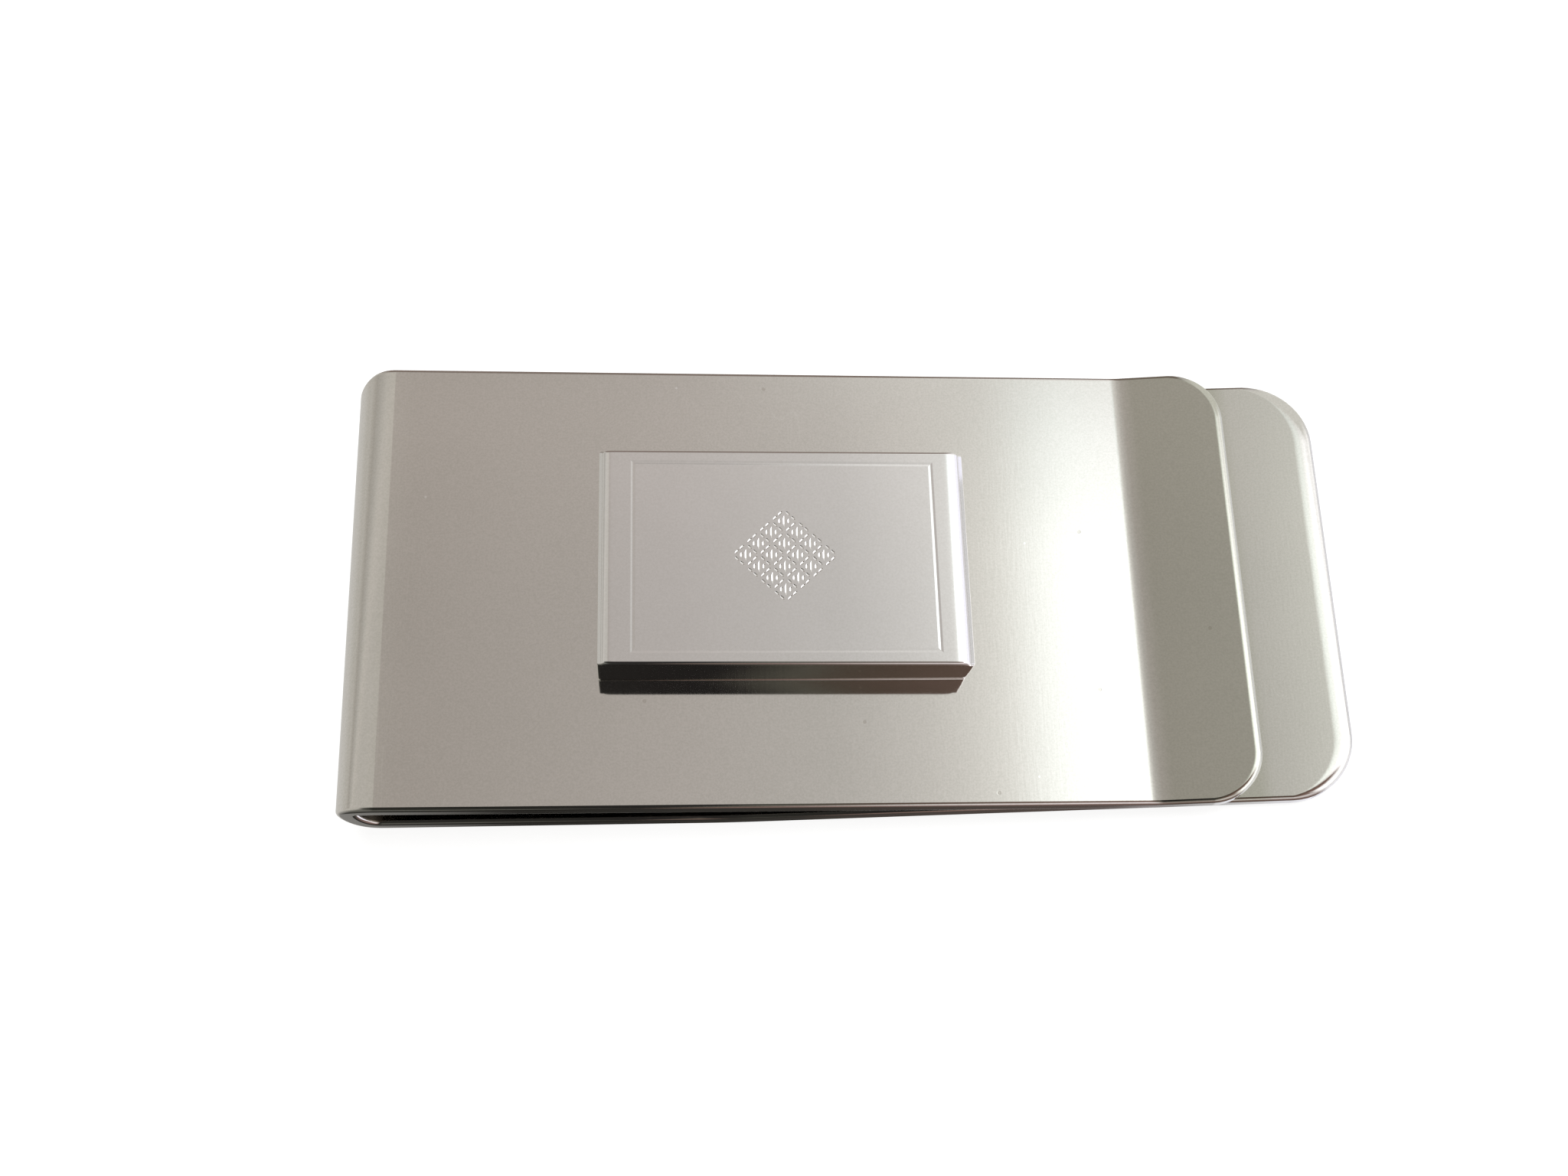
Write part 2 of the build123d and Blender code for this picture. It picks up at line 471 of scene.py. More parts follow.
def plate_end(half, height, pillow, side):
    """One end of the plate's lengthwise section: a top row and a bottom row of points with
    normals, from the flat top's end out to the end face. Side is 1 for the right, -1 the left."""
    pillow_length, pillow_drop, power = pillow
    shoulder_x = half - PLATE_SHOULDER
    flat = half - pillow_length
    run = shoulder_x - flat
    top, bottom = [], []
    for i in range(PILLOW_STEPS + 1):
        share = i / PILLOW_STEPS
        x = flat + run * share
        tilt = math.atan(power * pillow_drop * share ** (power - 1) / run)
        top.append((x, height - pillow_drop * share ** power, math.sin(tilt), math.cos(tilt)))
        bottom.append((x, 0.0, 0.0, -1.0))
    centre_x = shoulder_x - PLATE_SHOULDER * math.sin(tilt)
    centre_z = height - pillow_drop - PLATE_SHOULDER * math.cos(tilt)
    for i in range(1, SHOULDER_STEPS + 1):
        left = 1 - i / SHOULDER_STEPS
        angle = (math.pi / 2 - tilt) * left
        out, up = math.cos(angle), math.sin(angle)
        top.append((centre_x + (half - centre_x) * out, centre_z + PLATE_SHOULDER * up, out, up))
        out, down = math.cos(math.pi / 2 * left), math.sin(math.pi / 2 * left)
        bottom.append((
            shoulder_x + PLATE_SHOULDER * out, PLATE_SHOULDER * (1 - down), out, -down,
        ))
    return [
        [(Vector((side * x, z)), Vector((side * out, up))) for x, z, out, up in row]
        for row in (top, bottom)
    ]


def cut_outline(centre, angle, length, width):
    """A boat-shaped cut's six rim points and the two ends of its keel."""
    along = Vector((math.cos(math.radians(angle)), math.sin(math.radians(angle))))
    side = Vector((-along.y, along.x)) * (width / 2)
    half = along * (length / 2)
    rim = [
        centre - half,
        centre - half * CUT_SHOULDER - side,
        centre + half * CUT_SHOULDER - side,
        centre + half,
        centre + half * CUT_SHOULDER + side,
        centre - half * CUT_SHOULDER + side,
    ]
    return rim, (centre - half * KEEL_SHARE, centre + half * KEEL_SHARE)


def lozenge_cuts():
    """The cuts of the lozenge: its lattice in short strokes, and three upright ones a cell."""
    east = Vector((LOZENGE_LENGTH / 2, 0))
    north = Vector((0, LOZENGE_WIDTH / 2))
    rising = (east + north) / LOZENGE_CELLS
    falling = (east - north) / LOZENGE_CELLS
    angle = math.degrees(math.atan2(rising.y, rising.x))
    cuts = []
    for i in range(LOZENGE_CELLS + 1):
        for j in range(LOZENGE_CELLS):
            for place in SIDE_STROKE_PLACES:
                here = -east + falling * i + rising * (j + place)
                there = -east + rising * i + falling * (j + place)
                cuts.append(cut_outline(here, angle, rising.length * SIDE_STROKE, CUT_WIDTH))
                cuts.append(cut_outline(there, -angle, rising.length * SIDE_STROKE, CUT_WIDTH))
    for i in range(LOZENGE_CELLS):
        for j in range(LOZENGE_CELLS):
            middle = -east + rising * (i + 0.5) + falling * (j + 0.5)
            for shift, size in UPRIGHT_STROKES:
                here = middle + Vector((shift * rising.length, 0))
                cuts.append(cut_outline(here, 90, rising.length * size, UPRIGHT_WIDTH))
    return cuts


def rectangle(half_x, half_y):
    """The corners of a rectangle about the origin, from the lower left round."""
    return [Vector(p) for p in (
        (-half_x, -half_y), (half_x, -half_y), (half_x, half_y), (-half_x, half_y)
    )]


def plate_top(shell, corners, length, width, height):
    """The flat top between its four corner vertices, with its frame line and cuts sunk in."""
    frame_x = length / 2 - FRAME_END_INSET
    frame_y = width / 2 - FRAME_SIDE_INSET
    half_line = FRAME_LINE_WIDTH / 2
    cuts = lozenge_cuts()
    loops = [
        [Vector(shell.points[corner][:2]) for corner in corners],
        rectangle(frame_x + half_line, frame_y + half_line),
        rectangle(frame_x - half_line, frame_y - half_line),
    ]
    loops += [rim for rim, keel in cuts]
    flat_points, loop_faces = [], []
    for loop in loops:
        loop_faces.append(list(range(len(flat_points), len(flat_points) + len(loop))))
        flat_points += loop
    found = delaunay_2d_cdt(flat_points, [], loop_faces, 1, TINY)
    points, _, triangles, sources, _, inside = found
    index = {}
    for point, source in zip(points, sources):
        first = source[0]
        if first < len(corners):
            index[first] = corners[first]
        else:
            index[first] = shell.vertex((*point, height), Vector((0, 0, 1)))
    # Loop 0 is the top's outline, 1 and 2 are the frame line's two sides, the others are cuts
    for triangle, within in zip(triangles, inside):
        on_frame_line = 1 in within and 2 not in within
        in_cut = any(loop > 2 for loop in within)
        if not (on_frame_line or in_cut):
            shell.face([index[sources[i][0]] for i in triangle])
    outer, inner = ([index[i] for i in loop] for loop in loop_faces[1:3])
    groove(shell, outer, inner, frame_x, frame_y, height)
    for loop, (rim, keel) in zip(loop_faces[3:], cuts):
        sink_cut(shell, [index[i] for i in loop], keel, height)


def groove(shell, outer, inner, frame_x, frame_y, height):
    """The frame line: a shallow round-bottomed groove with mitred corners."""
    previous = outer
    for share in GROOVE_SHARES:
        offset = share * FRAME_LINE_WIDTH / 2
        depth = FRAME_LINE_DEPTH * (1 + math.cos(math.pi * share)) / 2
        ring = [
            shell.vertex((*p, height - depth), Vector((0, 0, 1)))
            for p in rectangle(frame_x + offset, frame_y + offset)
        ]
        shell.bridge(previous, ring, closed=True, flat=True)
        previous = ring
    shell.bridge(previous, inner, closed=True, flat=True)


def sink_cut(shell, rim, keel, height):
    """The facets of one boat-shaped cut, down to its keel."""
    low, high = (shell.vertex((*p, height - CUT_DEPTH), Vector((0, 0, 1))) for p in keel)
    shell.face((rim[0], rim[1], low), flat=True)
    shell.face((rim[1], rim[2], high, low), flat=True)
    shell.face((rim[2], rim[3], high), flat=True)
    shell.face((rim[3], rim[4], high), flat=True)
    shell.face((rim[4], rim[5], low, high), flat=True)
    shell.face((rim[5], rim[0], low), flat=True)


def side_offset(x, share):
    """How far the plate's long side stands out at a height share, and its two slopes."""
    level = 2 * share - 1
    phase = math.tau * x / SIDE_WAVE_LENGTH + SIDE_WAVE_PHASE
    offset = SIDE_WAVE * level * math.sin(phase) - SIDE_CROWN * level ** 2
    along = SIDE_WAVE * level * math.cos(phase) * math.tau / SIDE_WAVE_LENGTH
    down = 2 * SIDE_WAVE * math.sin(phase) - 4 * SIDE_CROWN * level
    return offset, along, down


def plate_grid(length, height):
    """The plate's lengthwise section as rows from the top to the bottom. Each point comes with
    its share of the way down and its normal."""
    left_top, left_bottom = plate_end(length / 2, height, LEFT_PILLOW, -1)
    right_top, right_bottom = plate_end(length / 2, height, RIGHT_PILLOW, 1)
    top = list(reversed(left_top)) + right_top
    bottom = list(reversed(left_bottom)) + right_bottom
    rows = []
    for row in range(SIDE_ROWS + 1):
        share = row / SIDE_ROWS
        rows.append([
            (upper.lerp(lower, share), share, lower_normal if row else upper_normal)
            for (upper, upper_normal), (lower, lower_normal) in zip(top, bottom)
        ])
    return rows


def plate_rim(rows):
    """The section's outline, clockwise from its top left: points, height shares and normals."""
    right = [(row[-1][0], row[-1][1], Vector((1, 0))) for row in rows[1:-1]]
    left = [(row[0][0], row[0][1], Vector((-1, 0))) for row in reversed(rows[1:-1])]
    return rows[0] + right + list(reversed(rows[-1])) + left


def plate_mesh(name, low, high):
    """The emblem plate in the leaf's axes: its section drawn out across the leaf, with soft long
    edges, pillowed ends, slightly crowned sides and an engraved top."""
    shell = Shell()
    length, width, height = high - low
    rows = plate_grid(length, height)
    rim = plate_rim(rows)
    half = width / 2
    full = []
    for side in (-1, 1):
        loops = []
        for inset, drop, outward, up in quarter_round(PLATE_EDGE_ROUND, PLATE_EDGE_ROUND):
            loop = []
            for point, share, normal in rim:
                offset = side_offset(point.x, share)[0]
                where = point - normal * inset
                loop.append(shell.vertex(
                    (where.x, side * (half + offset - drop), where.y),
                    Vector((normal.x * outward, side * up, normal.y * outward)),
                ))
            loops.append(loop)
        for first, second in zip(loops, loops[1:]):
            shell.bridge(first, second, closed=True)
        plate_side(shell, rows, loops[0], side, half, height)
        full.append(loops[-1])
    near, far = full
    flat_left = len(rows[0]) // 2 - 1
    for i in range(len(rim)):
        j = (i + 1) % len(rim)
        if i != flat_left:
            shell.face((near[i], near[j], far[j], far[i]))
    corners = [near[flat_left], near[flat_left + 1], far[flat_left + 1], far[flat_left]]
    plate_top(shell, corners, length, width, height)
    piece = shell.make(name)
    place_on_leaf(piece, low, high)
    return piece


def plate_side(shell, rows, loop, side, half, height):
    """One long side of the plate, as a grid inside its rim loop."""
    last = len(rows[0]) - 1
    inset = PLATE_EDGE_ROUND
    grid = [loop[:last + 1]]
    for number, row in enumerate(rows[1:-1], start=1):
        left, right = loop[len(loop) - number], loop[last + number]
        points = []
        for column in range(1, last):
            share = row[column][1]
            top, bottom = rows[0][column], rows[-1][column]
            above = top[0] - top[2] * inset
            below = bottom[0] - bottom[2] * inset
            where = above.lerp(below, share)
            offset, along, down = side_offset(where.x, share)
            normal = Vector((-along, side, down / height)).normalized()
            points.append(shell.vertex((where.x, side * (half + offset), where.y), normal))
        grid.append([left, *points, right])
    grid.append(list(reversed(loop[last + SIDE_ROWS:2 * last + SIDE_ROWS + 1])))
    for first, second in zip(grid, grid[1:]):
        shell.bridge(first, second)


def place_on_leaf(piece, low, high):
    """Moves a mesh to its place on the leaf: the middle of the underside of its CAD box."""
    foot = Vector(((low.x + high.x) / 2, (low.y + high.y) / 2, low.z))
    piece.data.transform(leaf_to_frame.to_4x4() @ Matrix.Translation(foot))
    piece.data.update()


def film_mesh(name, low, high):
    """The bond: a thin slab with rounded corners whose edge bulges where it was squeezed."""
    shell = Shell()
    length, width, height = high - low
    outline = []
    for x_side, y_side, first in ((1, 1, 0), (-1, 1, 90), (-1, -1, 180), (1, -1, 270)):
        centre = (x_side * (length / 2 - FILM_CORNER), y_side * (width / 2 - FILM_CORNER))
        outline += arc_points(centre, FILM_CORNER, first, first + 90, FILM_CORNER_STEPS)
    rings = []
    for share in (0, 0.25, 0.5, 0.75, 1):
        inset = FILM_BULGE * (1 - math.sin(math.pi * share))
        lean = math.cos(math.pi * share)
        rings.append([
            shell.vertex(
                (x - nx * inset, y - ny * inset, height * share),
                Vector((nx, ny, -lean)).normalized(),
            )
            for (x, y), (nx, ny) in outline
        ])
    for lower, upper in zip(rings, rings[1:]):
        shell.bridge(lower, upper, closed=True)
    shell.face(list(reversed(rings[0])), flat=True)
    shell.face(rings[-1], flat=True)
    piece = shell.make(name)
    place_on_leaf(piece, low, high)
    return piece


# ---------------------------------------------------------------- materials

# A pattern's scale is in cells per metre of the clip.

class Nodes:
    """Short names for building a node tree."""

    def __init__(self, tree):
        self.tree = tree
        tree.nodes.clear()

    def add(self, kind, **settings):
        node = self.tree.nodes.new(kind)
        for key, value in settings.items():
            setattr(node, key, value)
        return node

    def link(self, output, target):
        self.tree.links.new(output, target)

    def feed(self, target, value):
        if isinstance(value, (int, float, tuple)):
            target.default_value = value
        else:
            self.link(value, target)

    def math(self, operation, a, b=0.0, c=0.0, clamp=False):
        node = self.add("ShaderNodeMath", operation=operation, use_clamp=clamp)
        for socket, value in zip(node.inputs, (a, b, c)):
            self.feed(socket, value)
        return node.outputs[0]

    def scaled(self, source, scale, turn=0.0):
        node = self.add("ShaderNodeMapping")
        self.link(source, node.inputs["Vector"])
        node.inputs["Scale"].default_value = scale
        node.inputs["Rotation"].default_value = (0, 0, math.radians(turn))
        return node.outputs[0]

    def noise(self, vector, scale, detail=2.0, roughness=0.5):
        node = self.add("ShaderNodeTexNoise")
        self.link(vector, node.inputs["Vector"])
        node.inputs["Scale"].default_value = scale
        node.inputs["Detail"].default_value = detail
        node.inputs["Roughness"].default_value = roughness
        return node.outputs["Fac"]

    def ramp(self, value, stops):
        node = self.add("ShaderNodeValToRGB")
        self.link(value, node.inputs["Fac"])
        elements = node.color_ramp.elements
        while len(elements) < len(stops):
            elements.new(0.5)
        for element, (position, colour) in zip(elements, stops):
            element.position = position
            element.color = (*colour, 1.0)
        return node.outputs["Color"]

    def mix(self, factor, a, b):
        node = self.add("ShaderNodeMix", data_type="RGBA")
        self.feed(node.inputs["Factor"], factor)
        for name, value in (("A", a), ("B", b)):
            socket = [s for s in node.inputs if s.name == name and s.type == "RGBA"][0]
            self.feed(socket, (*value, 1.0) if isinstance(value, tuple) else value)
        return [s for s in node.outputs if s.type == "RGBA"][0]

    def product(self, a, b):
        node = self.add("ShaderNodeMix", data_type="RGBA", blend_type="MULTIPLY")
        node.inputs[0].default_value = 1.0
        self.link(a, node.inputs[6])
        self.link(b, node.inputs[7])
        return node.outputs[2]

    def bump(self, height, strength, distance):
        node = self.add("ShaderNodeBump")
        node.inputs["Strength"].default_value = strength
        node.inputs["Distance"].default_value = distance
        self.link(height, node.inputs["Height"])
        return node.outputs["Normal"]


def spots(nodes, vector, scale, radius, share):
    """White inside small round spots, one in a share of the cells of a random lattice."""
    cell = nodes.add("ShaderNodeTexVoronoi", voronoi_dimensions="2D")
    nodes.link(vector, cell.inputs["Vector"])
    cell.inputs["Scale"].default_value = scale
    near = nodes.math("SUBTRACT", 1.0, nodes.math("DIVIDE", cell.outputs["Distance"], radius))
    separate = nodes.add("ShaderNodeSeparateColor")
    nodes.link(cell.outputs["Color"], separate.inputs["Color"])
    chosen = nodes.math("LESS_THAN", separate.outputs["Red"], share)
    spot = nodes.math("MULTIPLY", near, SPOT_SHARPNESS, clamp=True)
    return nodes.math("MULTIPLY", spot, chosen)


def scratches(nodes, vector, turn, scale, stretch, width):
    """White on thin lines: the zero lines of a noise drawn out along one direction."""
    drawn = nodes.scaled(vector, (1.0, stretch, 1.0), turn)
    value = nodes.noise(drawn, scale, detail=0.0)
    line = nodes.math("ABSOLUTE", nodes.math("SUBTRACT", value, 0.5))
    thin = nodes.math("SUBTRACT", 1.0, nodes.math("DIVIDE", line, width), clamp=True)
    patches = nodes.noise(vector, scale * PATCH_SCALE, detail=0.0)
    return nodes.math("MULTIPLY", thin, nodes.math("GREATER_THAN", patches, PATCH_START))


def new_material(name):
    """A material with its node tree, its shader and the position output that patterns use."""
    material = bpy.data.materials.new(name)
    material.use_nodes = True
    nodes = Nodes(material.node_tree)
    shader = nodes.add("ShaderNodeBsdfPrincipled")
    output = nodes.add("ShaderNodeOutputMaterial")
    nodes.link(shader.outputs["BSDF"], output.inputs["Surface"])
    position = nodes.add("ShaderNodeTexCoord").outputs["Object"]
    return material, nodes, shader, position


def strip_material():
    """Polished white metal: a faint grain across the clip, a few pits and fine scratches, and
    painted shade darkening the lip and the back leaf's tip."""
    material, nodes, shader, position = new_material("polished_strip")
    shader.inputs["Metallic"].default_value = 1.0
    lines = nodes.noise(nodes.scaled(position, (1.0, 0.12, 1.0)), 6500, detail=3.0)
    clouds = nodes.noise(position, 140, detail=4.0, roughness=0.6)
    grain = nodes.noise(position, 9000, detail=1.0)
    pits = spots(nodes, position, 160, 0.020, 0.30)
    flecks = spots(nodes, position, 210, 0.016, 0.16)
    marks = nodes.math(
        "ADD",
        scratches(nodes, position, 8, 420, 0.10, 0.0022),
        scratches(nodes, position, 77, 380, 0.12, 0.0020),
        clamp=True,
    )
    along = nodes.add("ShaderNodeSeparateXYZ")
    nodes.link(position, along.inputs[0])
    share = nodes.math("MULTIPLY_ADD", along.outputs["X"], 1 / strip_reach, 0.5)
    # Painted shade: the base colour darkens on the lip and the back leaf's tip, for their darker
    # reflections.
    painted_shade = nodes.ramp(share, [(0.5 + x / strip_reach, colour) for x, colour in (
        (LIP_SHADE_START, NO_PAINTED_SHADE), (LIP_SHADE_FULL, LIP_PAINTED_SHADE),
        (TIP_SHADE_START, LIP_PAINTED_SHADE), (TIP_SHADE_FULL, TIP_PAINTED_SHADE),
    )])
    mottle = nodes.math("MULTIPLY_ADD", grain, 0.75, nodes.math("MULTIPLY", clouds, 0.25))
    clean = nodes.ramp(mottle, [(0.35, (0.685, 0.665, 0.630)), (0.65, (0.755, 0.728, 0.697))])
    worn = nodes.mix(nodes.math("MULTIPLY", marks, 0.12), clean, (0.90, 0.89, 0.86))
    bright = nodes.mix(nodes.math("MULTIPLY", flecks, 0.6), worn, (1.0, 1.0, 1.0))
    pitted = nodes.mix(nodes.math("MULTIPLY", pits, 0.35), bright, (0.42, 0.38, 0.33))
    nodes.link(nodes.product(pitted, painted_shade), shader.inputs["Base Color"])
    rough = nodes.math("MULTIPLY_ADD", lines, 0.03, 0.035)
    rough = nodes.math("MULTIPLY_ADD", clouds, 0.03, rough)
    rough = nodes.math("MULTIPLY_ADD", marks, 0.05, rough)
    nodes.link(rough, shader.inputs["Roughness"])
    relief = nodes.math("MULTIPLY_ADD", pits, -2.0, lines)
    nodes.link(nodes.bump(relief, 0.12, 0.004 * MM), shader.inputs["Normal"])
    return material


def dull_and_shaded_inside(strip, material):
    """Gives the faces on the inside of the fold a second material: dull, with painted shade."""
    strip.data.materials.append(material)
    for polygon in strip.data.polygons:
        offset = polygon.center - axis_point
        offset.y = 0
        if offset.x < 0 and offset.length < inner_radius + INNER_SKIN:
            polygon.material_index = 1


def dull_and_shaded_fold_material():
    """The inside of the fold: dull, and darker with painted shade for the shaded gap between the
    leaves. It is a guess that keeps the end of the gap as dark as the photo shows it."""
    material, nodes, shader, position = new_material("dull_fold_painted_shade")
    shader.inputs["Metallic"].default_value = 1.0
    clouds = nodes.noise(position, 900, detail=3.0)
    # Painted shade: a dark base colour on the fold's inside for the shade deep in the gap.
    colour = nodes.ramp(clouds, [(0.30, (0.10, 0.085, 0.065)), (0.70, (0.17, 0.145, 0.11))])
    nodes.link(colour, shader.inputs["Base Color"])
    nodes.link(nodes.math("MULTIPLY_ADD", clouds, 0.2, 0.30), shader.inputs["Roughness"])
    return material


def plate_material():
    """The plate's finer, paler polish, with a trace of bloom."""
    material, nodes, shader, position = new_material("polished_plate")
    shader.inputs["Metallic"].default_value = 1.0
    grain = nodes.noise(position, 8000, detail=2.0)
    clouds = nodes.noise(position, 260, detail=3.0)
    marks = scratches(nodes, position, 30, 420, 0.10, 0.0020)
    mottle = nodes.math("MULTIPLY_ADD", grain, 0.75, nodes.math("MULTIPLY", clouds, 0.25))
    clean = nodes.ramp(mottle, [(0.35, (0.80, 0.785, 0.775)), (0.65, (0.85, 0.835, 0.83))])
    worn = nodes.mix(nodes.math("MULTIPLY", marks, 0.12), clean, (0.94, 0.94, 0.93))
    nodes.link(worn, shader.inputs["Base Color"])
    rough = nodes.math("MULTIPLY_ADD", grain, 0.03, 0.015)
    rough = nodes.math("MULTIPLY_ADD", clouds, 0.02, rough)
    rough = nodes.math("MULTIPLY_ADD", marks, 0.05, rough)
    nodes.link(rough, shader.inputs["Roughness"])
    nodes.link(nodes.bump(grain, 0.08, 0.003 * MM), shader.inputs["Normal"])
    return material


def film_material():
    """Cured adhesive: dull grey-brown, slightly cloudy."""
    material, nodes, shader, position = new_material("cured_bond")
    clouds = nodes.noise(position, 900, detail=3.0)
    colour = nodes.ramp(clouds, [(0.30, (0.045, 0.040, 0.034)), (0.70, (0.085, 0.078, 0.068))])
    nodes.link(colour, shader.inputs["Base Color"])
    nodes.link(nodes.math("MULTIPLY_ADD", clouds, 0.25, 0.40), shader.inputs["Roughness"])
    nodes.link(nodes.bump(clouds, 0.3, 0.02 * MM), shader.inputs["Normal"])
    return material


# ---------------------------------------------------------------- studio

def turn_angle(nodes, toward, base):
    """The angle from one axis towards another, from half a turn back (0) to one on (1)."""
    return nodes.math("MULTIPLY_ADD", nodes.math("ARCTAN2", toward, base), 1 / math.tau, 0.5)


def angle_ramp(nodes, angle, *stops):
    """Colours over an angle, from (degrees, colour) stops. The end stops' colours go on."""
    return nodes.ramp(angle, [((degrees + 180) / 360, colour) for degrees, colour in stops])


def share_ramp(nodes, angle, *stops):
    """The same with (degrees, share) stops, for a factor or a dimming."""
    return angle_ramp(nodes, angle, *[(degrees, (share,) * 3) for degrees, share in stops])


def overhead_light(nodes, across, along):
    """The light from above, with a bright window wall on the right. Towards the rear it dims
    differently on the left and on the right."""
    overhead = angle_ramp(
        nodes, across,
        (-180, (0.66, 0.65, 0.63)),
        (-110, (0.66, 0.65, 0.62)),
        (-90, (0.58, 0.565, 0.525)),
        (-30, (0.59, 0.57, 0.53)),
        (-4.6, (0.575, 0.555, 0.51)),
        (-3.8, (0.45, 0.415, 0.385)),
        (7, (0.53, 0.50, 0.475)),
        (13, (0.60, 0.585, 0.56)),
        (16, (0.74, 0.73, 0.70)),
        (18.5, (0.98, 0.99, 0.95)),
        (20.5, (1.56, 1.65, 1.63)),
        (24, (1.68, 1.72, 1.72)),
        (32, (2.30, 2.30, 2.40)),
        (55, (2.20, 2.20, 2.30)),
        (65, (1.30, 1.30, 1.38)),
        (100, (1.35, 1.35, 1.50)),
        (150, (1.25, 1.25, 1.40)),
        (180, (0.66, 0.65, 0.63)),
    )
    rear_left = angle_ramp(
        nodes, along,
        (19, (1.0, 1.0, 1.0)),
        (25, (1.10, 1.09, 1.09)),
        (28, (1.05, 1.05, 1.05)),
        (34, (0.89, 0.89, 0.89)),
        (44, (0.80, 0.79, 0.78)),
        (54, (0.90, 0.89, 0.88)),
        (66, (1.0, 1.0, 1.0)),
    )
    rear_right = share_ramp(nodes, along, (21, 1.0), (27, 0.72), (40, 0.90), (180, 0.75))
    rightness = share_ramp(nodes, across, (15, 0.0), (20, 1.0))
    return nodes.product(overhead, nodes.mix(rightness, rear_left, rear_right))


def rear_walls(nodes, light, along, heading):
    """The light with the room's rear in it: a pale wall to the right of straight back, and a
    dark one straight back."""
    pale_side = share_ramp(nodes, heading, (114, 0.0), (130, 1.0), (155, 1.0), (165, 0.0))
    pale_height = share_ramp(nodes, along, (26, 0.0), (31, 1.0))
    light = nodes.mix(nodes.product(pale_side, pale_height), light, (0.96, 0.95, 0.92))
    dark_side = share_ramp(nodes, heading, (-160, 1.0), (-145, 0.0), (154, 0.0), (165, 1.0))
    dark_height = share_ramp(nodes, along, (38, 0.0), (46, 1.0))
    return nodes.mix(nodes.product(dark_side, dark_height), light, (0.27, 0.22, 0.195))


def front_colour(nodes, across):
    """The dark front of the room, grey on the left and brown on the right."""
    return angle_ramp(
        nodes, across,
        (-180, (0.045, 0.042, 0.038)),
        (-168, (0.020, 0.019, 0.017)),
        (-60, (0.20, 0.20, 0.18)),
        (-8, (0.035, 0.035, 0.03)),
        (8.5, (0.020, 0.018, 0.018)),
        (11.2, (0.115, 0.112, 0.092)),
        (13, (0.095, 0.072, 0.056)),
        (25, (0.26, 0.17, 0.145)),
        (60, (0.36, 0.25, 0.225)),
        (150, (0.22, 0.155, 0.14)),
        (168, (0.12, 0.092, 0.082)),
        (180, (0.05, 0.045, 0.04)),
    )


def front_share(nodes, along, heading, height):
    """How far the dark front hides the light: high up in the front half of the room, and lower
    down at the headings that face the front. On its right side a broad band and a thin line of
    it let some light through."""
    bands = share_ramp(
        nodes, along,
        (-88, 1.0), (-80, 0.68), (-46, 0.68), (-38, 1.0),
        (-19.6, 1.0), (-19.2, 0.5), (-18.9, 0.5), (-18.5, 1.0),
        (-3, 1.0), (7, 0.0),
    )
    banded_side = share_ramp(nodes, heading, (6, 0.0), (13, 1.0))
    front_half = share_ramp(nodes, along, (-3, 1.0), (7, 0.0))
    facing = share_ramp(nodes, heading, (-75, 0.0), (-40, 1.0), (42, 1.0), (54, 0.0))
    lowness = nodes.ramp(height, [(0.70, (1.0, 1.0, 1.0)), (0.84, (0.0, 0.0, 0.0))])
    return nodes.product(
        nodes.mix(banded_side, (1.0, 1.0, 1.0), bands),
        nodes.mix(lowness, front_half, facing),
    )


def room():
    """Light from all round, in zones placed so that the polished metal mirrors them as in the
    photo. Across and along are the angles from straight up towards the right and towards the
    rear, and heading is the angle from the front round to the right."""
    world = bpy.data.worlds.new("room")
    world.use_nodes = True
    bpy.context.scene.world = world
    nodes = Nodes(world.node_tree)
    background = nodes.add("ShaderNodeBackground")
    output = nodes.add("ShaderNodeOutputWorld")
    nodes.link(background.outputs[0], output.inputs[0])
    separate = nodes.add("ShaderNodeSeparateXYZ")
    nodes.link(nodes.add("ShaderNodeTexCoord").outputs["Generated"], separate.inputs[0])
    x, y, z = separate.outputs
    across = turn_angle(nodes, x, z)
    along = turn_angle(nodes, y, z)
    heading = turn_angle(nodes, x, nodes.math("MULTIPLY", y, -1.0))
    light = rear_walls(nodes, overhead_light(nodes, across, along), along, heading)
    hidden = front_share(nodes, along, heading, z)
    nodes.link(nodes.mix(hidden, light, front_colour(nodes, across)), background.inputs["Color"])


def studio_object(name, points, faces):
    """An object of the studio, which the metal doesn't reflect."""
    mesh = bpy.data.meshes.new(name)
    mesh.from_pydata(points, [], faces)
    thing = bpy.data.objects.new(name, mesh)
    thing.visible_glossy = False
    bpy.context.scene.collection.objects.link(thing)
    return thing


def floor():
    """A wide pale table top under the clip."""
    reach = TABLE_REACH
    plane = studio_object(
        "floor", [(-reach, -reach, 0), (reach, -reach, 0), (reach, reach, 0), (-reach, reach, 0)],
        [(0, 1, 2, 3)],
    )
    plane.location.z = cad_low.z
    material = bpy.data.materials.new("pale_table")
    material.use_nodes = True
    shader = material.node_tree.nodes["Principled BSDF"]
    shader.inputs["Base Color"].default_value = (0.20, 0.20, 0.20, 1)
    shader.inputs["Roughness"].default_value = 0.9
    shader.inputs["Specular IOR Level"].default_value = 0.0
    shader.inputs["Emission Color"].default_value = (1.0, 1.0, 0.995, 1)
    shader.inputs["Emission Strength"].default_value = 0.87
    plane.data.materials.append(material)


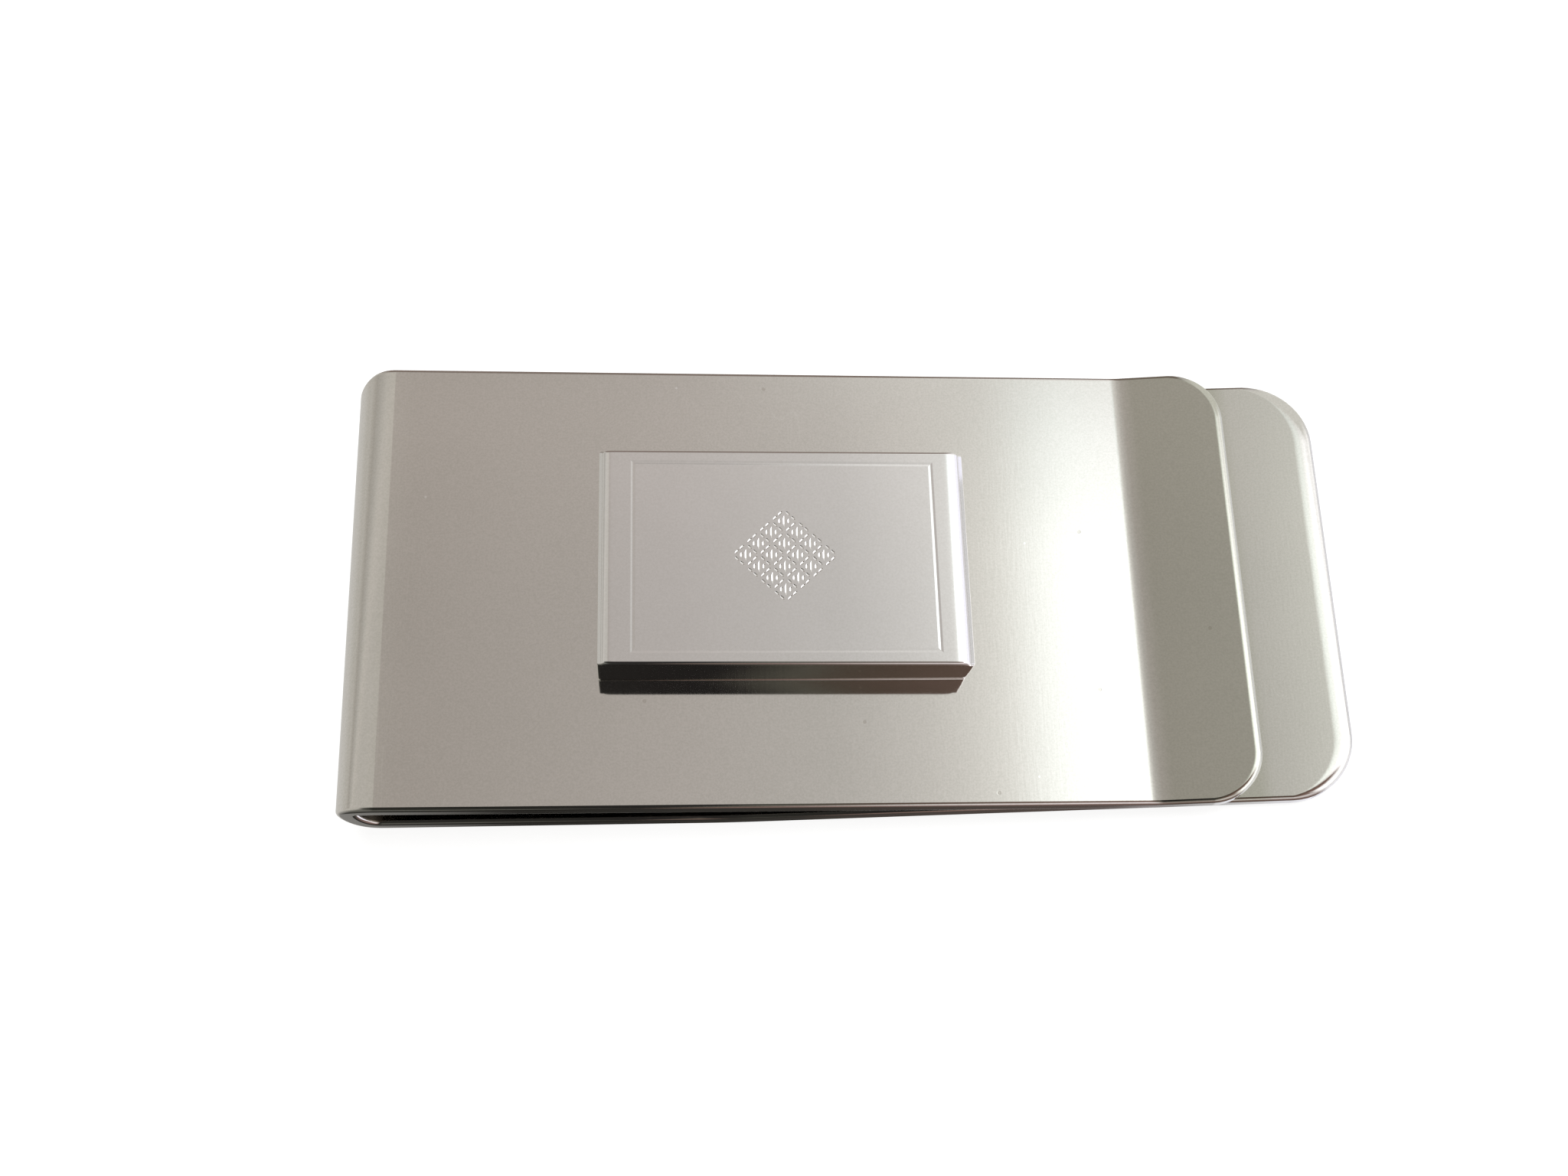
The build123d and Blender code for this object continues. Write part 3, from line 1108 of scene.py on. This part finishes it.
def backdrop():
    """A pale wall round the table that only the camera sees."""
    points, faces = [], []
    for i in range(BACKDROP_FACES):
        angle = math.tau * i / BACKDROP_FACES
        x, y = BACKDROP_RADIUS * math.cos(angle), BACKDROP_RADIUS * math.sin(angle)
        points += [(x, y, BACKDROP_FOOT), (x, y, BACKDROP_HEIGHT)]
        j = (i + 1) % BACKDROP_FACES
        faces.append((2 * i, 2 * j, 2 * j + 1, 2 * i + 1))
    wall = studio_object("backdrop", points, faces)
    wall.visible_diffuse = False
    wall.visible_shadow = False
    material = bpy.data.materials.new("pale_wall")
    material.use_nodes = True
    nodes = Nodes(material.node_tree)
    glow = nodes.add("ShaderNodeEmission")
    glow.inputs["Color"].default_value = (1.0, 1.0, 1.0, 1)
    output = nodes.add("ShaderNodeOutputMaterial")
    nodes.link(glow.outputs[0], output.inputs[0])
    wall.data.materials.append(material)


def table_light():
    """A soft light for the table alone: the metal reflects the room, not this."""
    data = bpy.data.lights.new("table_light", "AREA")
    data.shape = "DISK"
    data.size = LIGHT_SIZE
    data.energy = LIGHT_POWER
    light = bpy.data.objects.new("table_light", data)
    light.location = LIGHT_PLACE
    light.rotation_euler = LIGHT_PLACE.to_track_quat("Z", "Y").to_euler()
    light.visible_glossy = False
    bpy.context.scene.collection.objects.link(light)


def camera():
    """The photo's camera: above the clip, a little towards the front."""
    data = bpy.data.cameras.new("camera")
    data.lens = LENS_MM
    data.sensor_width = SENSOR_MM
    data.clip_start = CLIP_NEAR
    data.clip_end = CLIP_FAR
    azimuth, elevation = math.radians(AZIMUTH), math.radians(ELEVATION)
    back = Vector((
        math.sin(azimuth) * math.cos(elevation),
        -math.cos(azimuth) * math.cos(elevation),
        math.sin(elevation),
    ))
    level = Vector((math.cos(azimuth), math.sin(azimuth), 0))
    right = Matrix.Rotation(math.radians(ROLL), 3, back) @ level
    up = back.cross(right)
    turn = Matrix((right, up, back)).transposed()
    eye = bpy.data.objects.new("camera", data)
    eye.matrix_world = Matrix.Translation(AIM + back * AIM_DISTANCE) @ turn.to_4x4()
    bpy.context.scene.collection.objects.link(eye)
    bpy.context.scene.camera = eye


# ---------------------------------------------------------------- assembly

camera()
room()
floor()
backdrop()
table_light()

strip_finish = strip_material()
fold_waist = (math.pi * mid_radius, FOLD_NARROWING_NEAR, FOLD_NARROWING_FAR)
front_path = front_line()
front_plan = strip_plan(front_path, strip_width, LIP_CORNER, waist=fold_waist)
front_strip = strip_mesh(
    "fold_and_front_leaf", front_path, front_plan, strip_thickness, LIP_REACH
)
front_strip.data.materials.append(strip_finish)
dull_and_shaded_inside(front_strip, dull_and_shaded_fold_material())
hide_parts("spring_fold", "front_leaf")
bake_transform(front_strip)

back_path = back_line()
back_plan = strip_plan(back_path, strip_width, BACK_CORNER, BACK_NARROWING)
back_strip = strip_mesh(
    "back_leaf_strip", back_path, back_plan, strip_thickness, BACK_TIP_REACH, BACK_TIP_POWER
)
back_strip.data.materials.append(strip_finish)
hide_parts("back_leaf")
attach(back_strip, "back")

plate = plate_mesh("emblem_plate_cut", *leaf_box("emblem_plate"))
plate.data.materials.append(plate_material())
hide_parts("emblem_plate")
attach(plate, "front")

film = film_mesh("bond_film", *leaf_box("adhesive_film"))
film.data.materials.append(film_material())
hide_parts("adhesive_film")
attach(film, "front")

bpy.context.scene.view_settings.view_transform = "Standard"
